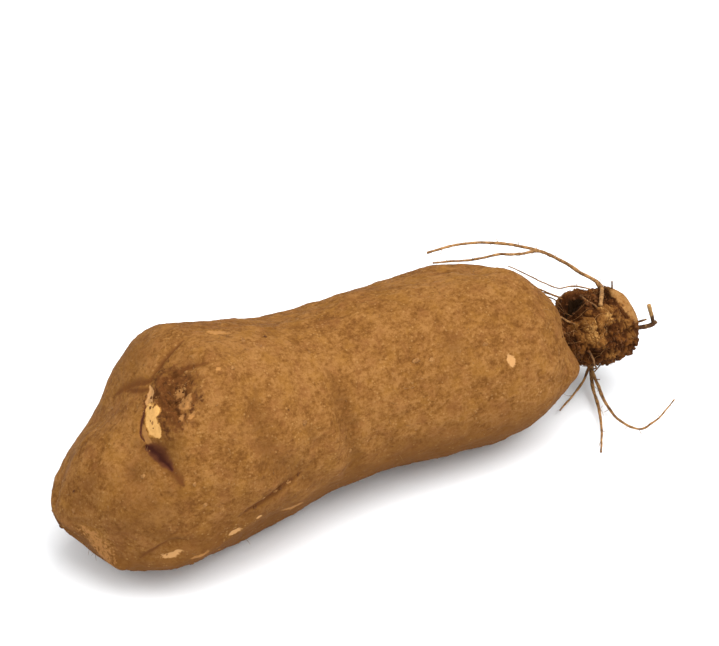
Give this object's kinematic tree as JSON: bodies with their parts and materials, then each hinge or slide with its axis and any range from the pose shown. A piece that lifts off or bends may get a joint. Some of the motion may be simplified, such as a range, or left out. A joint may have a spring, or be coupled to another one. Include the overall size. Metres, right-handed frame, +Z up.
{
  "type": "white yam",
  "caption": "Whole white yam lying on its side: a long brown tuber with a scarred, folded tail half, a woody knobbly crown, wiry roots and a dry vine stub.",
  "frame": {"origin": "on the surface that the yam lies on, in the middle of the whole yam's box", "axes": "+X from the tail to the crown along the tuber, -Y towards the scarred side, +Z up"},
  "size_m": [0.3821, 0.1334, 0.1199],
  "materials": {
    "yam_skin": "matt, dry, mottled corky skin with broken-off flakes and pale grazes",
    "crown_wood": "rough dark wood matted with soil and rootlets, bare tan at its outer end",
    "root": "dry wiry tan root",
    "vine": "dry brown twig"
  },
  "bodies": {
    "root": {"tuber": "yam_skin", "crown": "crown_wood", "upper_roots": "root", "lower_roots": "root", "vine_stub": "vine"}
  },
  "joints": []
}
